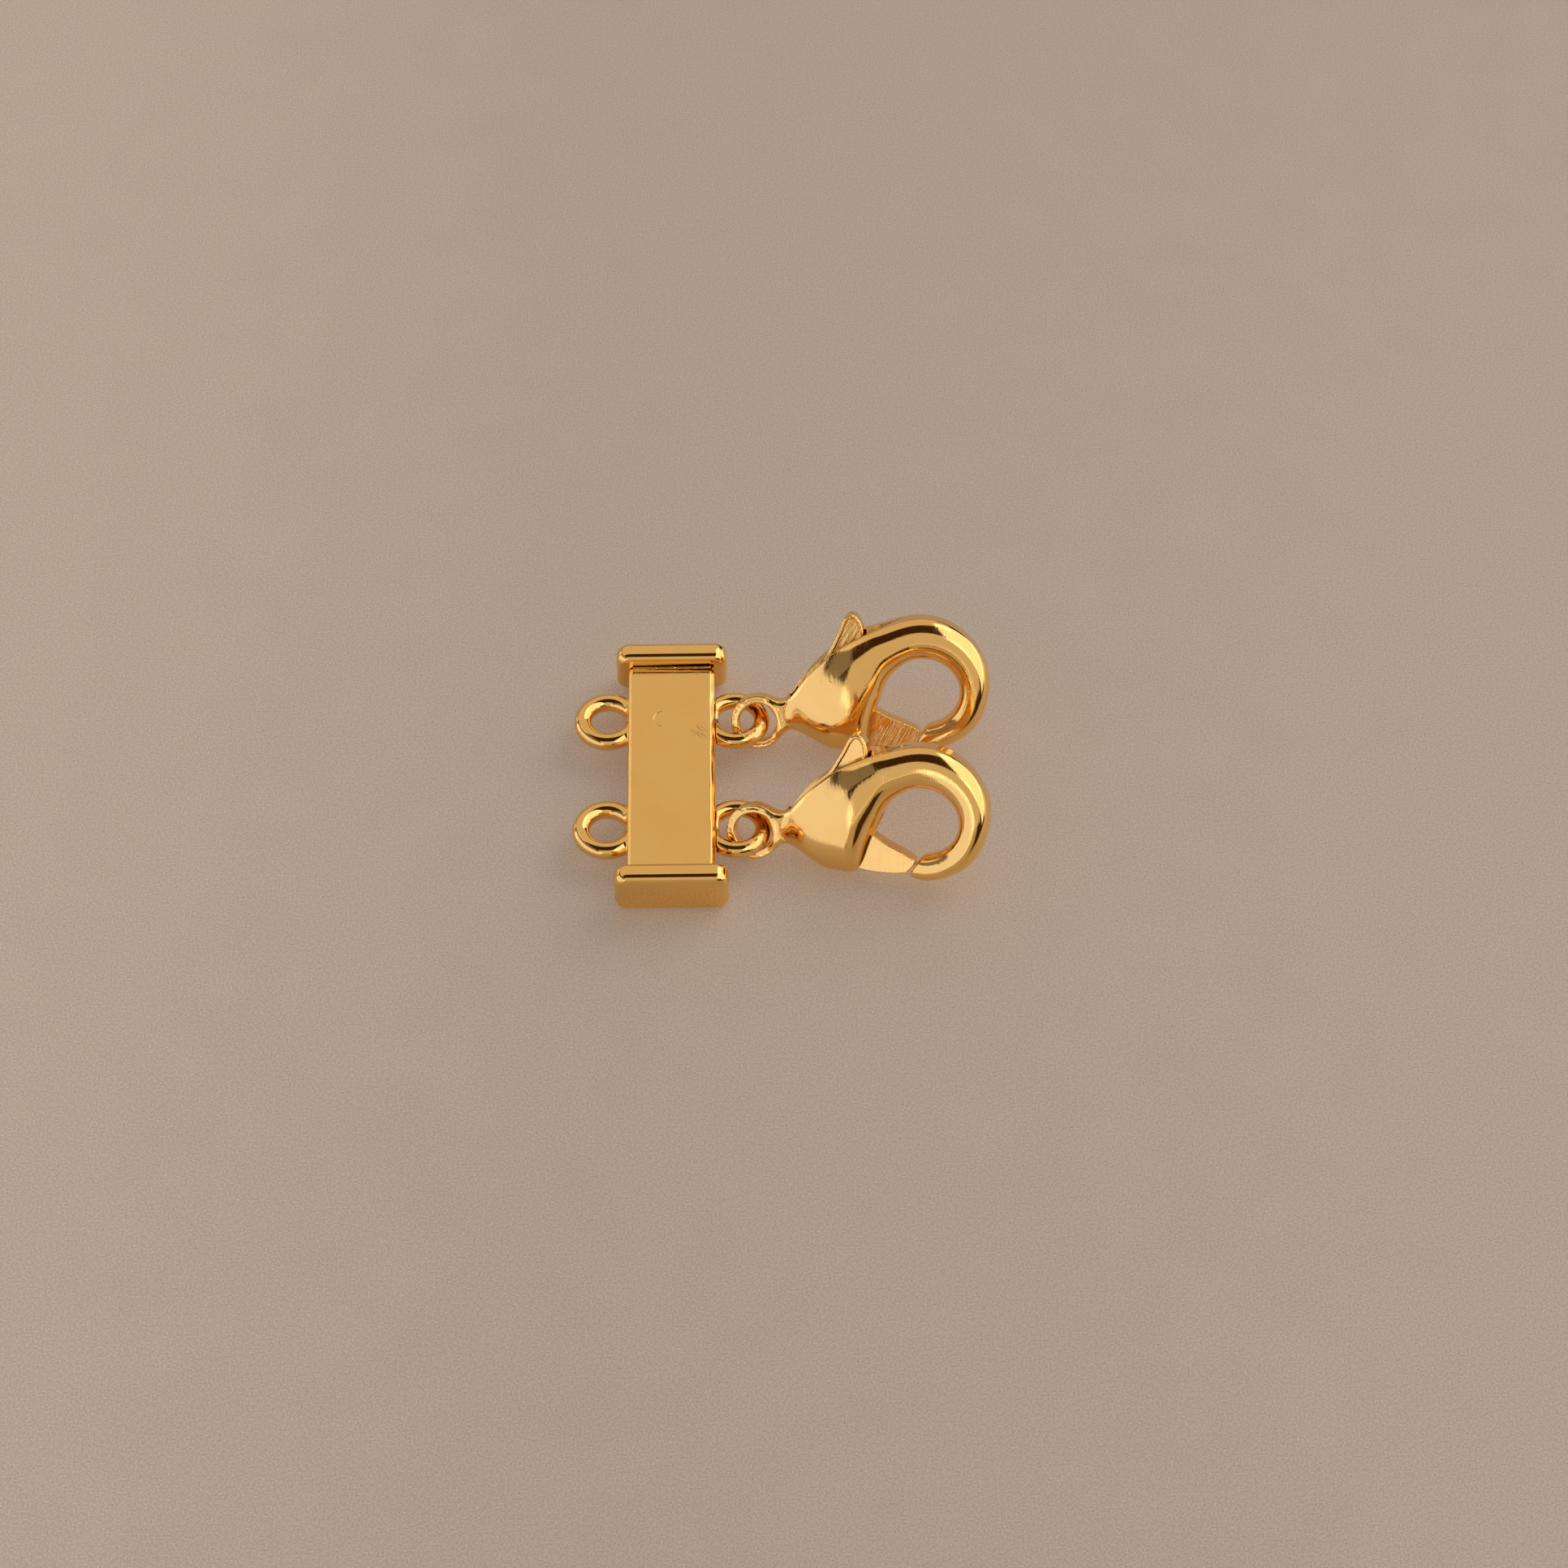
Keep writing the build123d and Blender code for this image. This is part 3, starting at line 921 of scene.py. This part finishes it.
def tube_mesh(name):
    """The flat tube, its right edge pressed in unevenly and its far end sagging."""
    outline = tube_profile()
    cut = tube_end_round * tube_end_share
    ends = [(0, tube_end_round), (cut, cut), (tube_end_round, 0)]
    long = tube_far - tube_near
    reach = tube_sag_reach[1]
    even = np.linspace(tube_end_round, long - reach, tube_stations)[1:]
    stations = ends + [(along, 0) for along in even]
    stations += [(long - reach * share, 0) for share in np.arange(0.9, 0.1, -0.1)]
    stations += [(long - along, inset) for along, inset in reversed(ends)]
    rings = []
    for along, inset in stations:
        press = tube_press + sum(size * sin(rate * along + start)
                                 for size, rate, start in tube_waves)
        ring = []
        for across, up in outline:
            edge = max(0.0, across / (tube_width / 2)) ** 4
            here = np.interp(across / tube_width, (-0.5, 0.5), tube_sag_reach)
            sag = max(0.0, 1 - (long - along) / here) ** 2 * tube_sag * here / reach
            ring.append((across - inset * np.sign(across) - press * edge, tube_near + along,
                         ring_height + up - inset * np.sign(up) - sag * (up > 0)))
        rings.append(ring)
    return loft(name, rings)


def bar_mesh(name):
    """The flat inner bar, from inside the near cap to its rounded far end."""
    left = cavity_left + slide_fit
    right = cavity_right - slide_fit
    far = float(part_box("slide_bar")[1].y) * METRE
    outline = rounded_outline(right - left, tube_height - 2 * (tube_wall + slide_fit),
                              bar_corner_round, 4, 4)
    outline[:, 0] += (left + right) / 2
    rows = [(near_cap_inner - bar_root, 1)]
    rows += [(far - back, share) for back, share in bar_end_taper]
    return loft(name, [[(across * share, along, ring_height + up * share)
                        for across, up in outline] for along, share in rows])


class Tree:
    """The nodes of a material or world, and short ways to add more."""

    def __init__(self, owner):
        owner.use_nodes = True
        self.nodes, self.links = owner.node_tree.nodes, owner.node_tree.links

    def feed(self, node, inputs):
        """Gives a node's inputs fixed values or other nodes' outputs."""
        for name, value in inputs.items():
            if isinstance(value, bpy.types.NodeSocket):
                self.links.new(value, node.inputs[name])
            elif value is not None:
                node.inputs[name].default_value = value

    def add(self, kind, output, inputs, **settings):
        """One output of a new node."""
        node = self.nodes.new("ShaderNode" + kind)
        for name, value in settings.items():
            setattr(node, name, value)
        self.feed(node, inputs)
        return node.outputs[output]

    def place(self):
        """The piece's own coordinates in metres."""
        return self.add("TexCoord", "Object", {})

    def axis(self, name):
        """One of the piece's own coordinates."""
        return self.add("SeparateXYZ", name, {"Vector": self.place()})

    def distance(self, middle):
        """The distance in metres from a place in millimetres."""
        inputs = {0: self.place(), 1: [value / METRE for value in middle]}
        return self.add("VectorMath", "Value", inputs, operation="DISTANCE")

    def noise(self, noise):
        """Noise over the piece's own coordinates."""
        inputs = {"Vector": self.place(), "Rotation": (0, 0, radians(noise.turn)),
                  "Scale": [1 / share for share in noise.finer]}
        place = self.add("Mapping", "Vector", inputs, vector_type="TEXTURE")
        inputs = {"Vector": place, "Scale": noise.scale, "Detail": noise.detail}
        return self.add("TexNoise", "Fac", inputs)

    def share(self, noise, first=0, second=1):
        """Noise between its levels, as a value from the first to the second."""
        return self.span(self.noise(noise), noise.low, noise.high, first, second)

    def span(self, value, low, high, first, second):
        """A value taken from one range to another, and held at its ends."""
        return self.add("MapRange", "Result", {"Value": value, "From Min": low, "From Max": high,
                                               "To Min": first, "To Max": second})

    def math(self, operation, first, second=None):
        """The result of a math node on a value and a second value or number."""
        return self.add("Math", "Value", {0: first, 1: second}, operation=operation)

    def blend(self, share, first, second, blend_type="MIX"):
        """A colour between two, or another blend of them, by a share."""
        return self.add("Mix", "Result", {"Factor": share, "A": first, "B": second},
                        data_type="RGBA", blend_type=blend_type)

    def bump(self, height, depth, normal=None):
        """A bump of a depth in metres, over another one where it is given."""
        return self.add("Bump", "Normal", {"Strength": 1.0, "Distance": depth, "Height": height,
                                           "Normal": normal})


def gold(name, marks=None, shade_paint=None):
    """Gold plate of drifting tone and roughness, with waves, polishing lines and pits."""
    material = bpy.data.materials.new(name)
    tree = Tree(material)
    smooth, dull, wave, lines, pits = finishes[name]
    colour = tree.blend(tree.share(tone_noise), gold_light, gold_deep)
    # Painted shade, where given, darkens the gold's colour
    if shade_paint is not None:
        colour = shade_paint(tree, colour)
    normal = tree.bump(tree.noise(wave_noise), wave)
    normal = tree.bump(tree.noise(line_noise), lines, normal)
    normal = tree.bump(tree.share(pit_noise), pits, normal)
    if marks is not None:
        normal = marks(tree, normal)
    tree.feed(tree.nodes["Principled BSDF"], {
        "Metallic": 1.0, "Base Color": colour, "Normal": normal,
        "Roughness": tree.share(rough_noise, smooth, dull)})
    return material


def tube_marks(tree, normal):
    """A curved hairline scratch and a small scuff on the tube's upper face."""
    gap = tree.math("SUBTRACT", tree.distance(scratch_middle), scratch_radius / METRE)
    hair = tree.span(tree.math("ABSOLUTE", gap), 0, scratch_half / METRE, 1, 0)
    left, right = (side / METRE for side in scratch_sides)
    hair = tree.math("MULTIPLY", hair, tree.span(tree.axis("X"), left, right, 1, 0))
    normal = tree.bump(hair, -scratch_depth, normal)
    near = tree.span(tree.distance(scuff_middle), 0, scuff_radius / METRE, 1, 0)
    scuff = tree.math("MULTIPLY", near, tree.share(scuff_noise))
    return tree.bump(scuff, -scuff_depth, normal)


def painted_joint_shade(tree, colour):
    """The gold darkened by painted shade beside the far cap, on the tube's upper face."""
    half, rag = tube_width / 2 / METRE, joint_shade_rag / METRE
    widths = [width / METRE for width in joint_shade_width]
    depth = tree.math("SUBTRACT", tree.axis("Y"), tube_far / METRE)
    depth = tree.math("ADD", depth, tree.span(tree.axis("X"), -half, half, *widths))
    depth = tree.math("ADD", depth, tree.share(joint_shade_noise, -rag, rag))
    share = tree.span(depth, 0, joint_shade_edge / METRE, 0, 1)
    top = (ring_height + tube_height / 2 - tube_edge_drop) / METRE
    raised = tree.span(tree.axis("Z"), top, top + joint_shade_rise / METRE, 0, 1)
    return tree.blend(tree.math("MULTIPLY", share, raised), colour, joint_shade_colour)


def brush_marks(tree, normal):
    """Diagonal brushed lines across a lever."""
    return tree.bump(tree.share(brush_noise), -brush_depth, normal)


def floor_material():
    """Satin greige board with a fine tooth, and painted light that makes it a little paler towards
    the left.
    """
    material = bpy.data.materials.new("satin_board")
    tree = Tree(material)
    # Painted light: the board is paler towards the left
    aside = tree.span(tree.axis("X"), *floor_lit_reach, 1, 0)
    broad = tree.blend(aside, floor_colour, floor_lit_colour)
    tooth = tree.noise(tooth_noise)
    shades = tree.span(tooth, tooth_noise.low, tooth_noise.high, *tooth_shades)
    shades = tree.math("ADD", shades, tree.share(mottle_noise, 0, mottle_shade))
    tree.feed(tree.nodes["Principled BSDF"], {
        "Roughness": floor_roughness, "Normal": tree.bump(tooth, tooth_depth),
        "Base Color": tree.blend(1.0, broad, shades, "MULTIPLY")})
    return material


def place_cast(name, surface, middle, directions=np.eye(3)):
    """A cast surface, in its own directions, as an object in the row's frame."""
    points, faces, normals = surface
    return add_mesh(name, middle + points @ directions, faces.tolist(), normals @ directions)


def rough_bearing(along, up, away):
    """Where a claw's eye has scuffed a right ring."""
    return np.hypot(along - bearing_patch[0], up - bearing_patch[1]) < bearing_patch_radius


def rough_cast(along, up, away):
    """The outer rim of a claw's eye, left as it was cast."""
    return (along < rim_patch_end) & (np.hypot(along, up) > rim_patch_radius)


def rough_edges(along, up, away):
    """The edges of the jaw, between its faces."""
    return (along > jaw_patch_start) & (up < 0) & (np.abs(away) < jaw_patch_half)


def build_lock(material, tube_material, rough):
    """The slide lock: both caps, the tube, the inner bar, the bead and the strand rings."""
    bar, tube = ("lock", "slide_bar", "lock"), ("tube", "slide_tube", "lock")
    dress(cap_mesh("near_cap", 0.0), *bar, material)
    dress(bar_mesh("inner_bar"), *bar, material)
    dress(cap_mesh("far_cap", tube_far + cap_thick / 2), *tube, material)
    dress(tube_mesh("tube_shell"), *tube, tube_material)
    bead = cast_surface(bead_distance, bead_grid)
    middle = (0, tube_far, tube_lift + tube_height - bead_radius)
    dress(place_cast("solder_bead", bead, middle), *tube, rough)
    left_ring = cast_surface(ring_distance, left_ring_grid)
    right_ring = cast_surface(tab_ring_distance, right_ring_grid)
    for which, along in ring_alongs.items():
        middle = (-ring_reach, along, ring_height)
        dress(place_cast(f"{which}_tube_ring", left_ring, middle), *tube, material)
        middle = (ring_reach, along, ring_height)
        ring = place_cast(f"{which}_bar_ring", right_ring, middle, np.diag([-1.0, -1.0, 1.0]))
        roughen(dress(ring, *bar, material), right_ring, rough_bearing, rough)


def build_claws(body_material, lever_materials, rough):
    """Both claws, each a cast body and its lever."""
    body = cast_surface(claw_distance, claw_grid, claw_plan)
    lever = cast_surface(lever_distance, lever_grid, lever_plan)
    for which in ("near", "far"):
        place = claw_directions(which)
        piece = place_cast(f"{which}_claw", body, *place)
        dress(piece, "lock", f"{which}_claw_body", "claw", body_material)
        roughen(piece, body, rough_cast, rough)
        piece = place_cast(f"{which}_lever", lever, *place)
        dress(piece, f"{which}_lever", f"{which}_claw_lever", "lever", lever_materials[which])
        roughen(piece, lever, rough_edges, rough)


def dress_pins(material):
    """The hidden pins stay plain solids, with a finish."""
    for which in ("near", "far"):
        materials = frame["nodes"][f"{which}_pivot_pin"].data.materials
        materials.clear()
        materials.append(material)


def add_floor():
    """The surface under the clasp."""
    corners = [(-1, -1), (1, -1), (1, 1), (-1, 1)]
    mesh = bpy.data.meshes.new("floor")
    mesh.from_pydata([(floor_side * x, floor_side * y, 0) for x, y in corners], [], [(0, 1, 2, 3)])
    floor = add_object("floor", mesh)
    mesh.materials.append(floor_material())


def add_softbox(name, azimuth, elevation, width, height, brightness, colour):
    """A soft rectangular light that faces the clasp, mirrored in the metal only."""
    light = bpy.data.lights.new(name, "AREA")
    light.shape = "RECTANGLE"
    light.size, light.size_y = width, height
    light.energy = brightness * pi * width * height
    light.color = colour
    lamp = add_object(name, light)
    turn, rise = radians(azimuth), radians(elevation)
    away = Vector((sin(turn) * cos(rise), cos(turn) * cos(rise), sin(rise)))
    lamp.location = Vector(light_aim) + away * light_distance
    lamp.rotation_euler = away.to_track_quat("Z", "Y").to_euler()
    lamp.visible_diffuse = False


def add_sun(name, azimuth, elevation, strength, spread, shadow):
    """A warm sun on matt surfaces only, as strong on the floor as even light of a strength."""
    light = bpy.data.lights.new(name, "SUN")
    light.energy = strength * pi / sin(radians(elevation))
    light.color = fill_colour
    light.angle = radians(spread)
    light.use_shadow = shadow
    lamp = add_object(name, light)
    lamp.rotation_euler = (radians(elevation - 90), 0, radians(-azimuth))
    lamp.visible_glossy = False
    return lamp


def add_shade():
    """The broad shade on the floor, which only the lock's pieces cast."""
    shade = add_sun("shade", shade_azimuth, shade_elevation, shade_strength, shade_spread, True)
    casters = bpy.data.collections.new("shade_casters")
    for piece in bpy.context.scene.objects:
        if piece.name.endswith(("_cap", "_bar", "_shell", "_ring")):
            casters.objects.link(piece)
    shade.light_linking.blocker_collection = casters


def add_room():
    """Even light on matt surfaces, and a dim room in the metal's reflections."""
    world = bpy.data.worlds.new("studio")
    tree = Tree(world)
    matte = tree.add("LightPath", "Is Diffuse Ray", {})
    tree.feed(tree.nodes["Background"], {
        "Color": tree.blend(matte, dim_colour, (1, 1, 1, 1)),
        "Strength": tree.span(matte, 0, 1, dim_strength, room_strength)})
    bpy.context.scene.world = world


def add_camera():
    """The camera at the photograph's viewing angle."""
    turn = Matrix.Rotation(-camera_yaw, 3, "Z")
    axes = turn @ Matrix.Rotation(pi / 2 - camera_lift, 3, "X")
    focus = turn @ Vector(focus_place) + Vector((0, mid_along, 0))
    place = (focus + axes.col[2] * camera_distance) / METRE
    camera = bpy.data.cameras.new("camera")
    camera.sensor_width = sensor_width
    camera.lens = sensor_width * focal_pixels / picture_pixels
    camera.clip_start, camera.clip_end = clip_reach
    item = add_object("camera", camera)
    item.matrix_world = Matrix.Translation(place) @ axes.to_4x4()
    bpy.context.scene.camera = item


polished = gold("polished_gold")
# The tube's gold has painted shade beside the far cap
tube_gold = gold("tube_gold", tube_marks, painted_joint_shade)
cast_gold = gold("cast_gold")
rough_gold = gold("rough_gold")
lever_gold = {"near": gold("lever_gold"), "far": gold("brushed_gold", brush_marks)}
build_lock(polished, tube_gold, rough_gold)
build_claws(cast_gold, lever_gold, rough_gold)
dress_pins(polished)
add_floor()
add_room()
add_sun("fill", 0, 90, fill_strength, 0, False)
add_shade()
for soft_box in soft_boxes:
    add_softbox(*soft_box)
add_camera()
bpy.context.scene.view_settings.view_transform = "Standard"

bpy.context.view_layer.update()
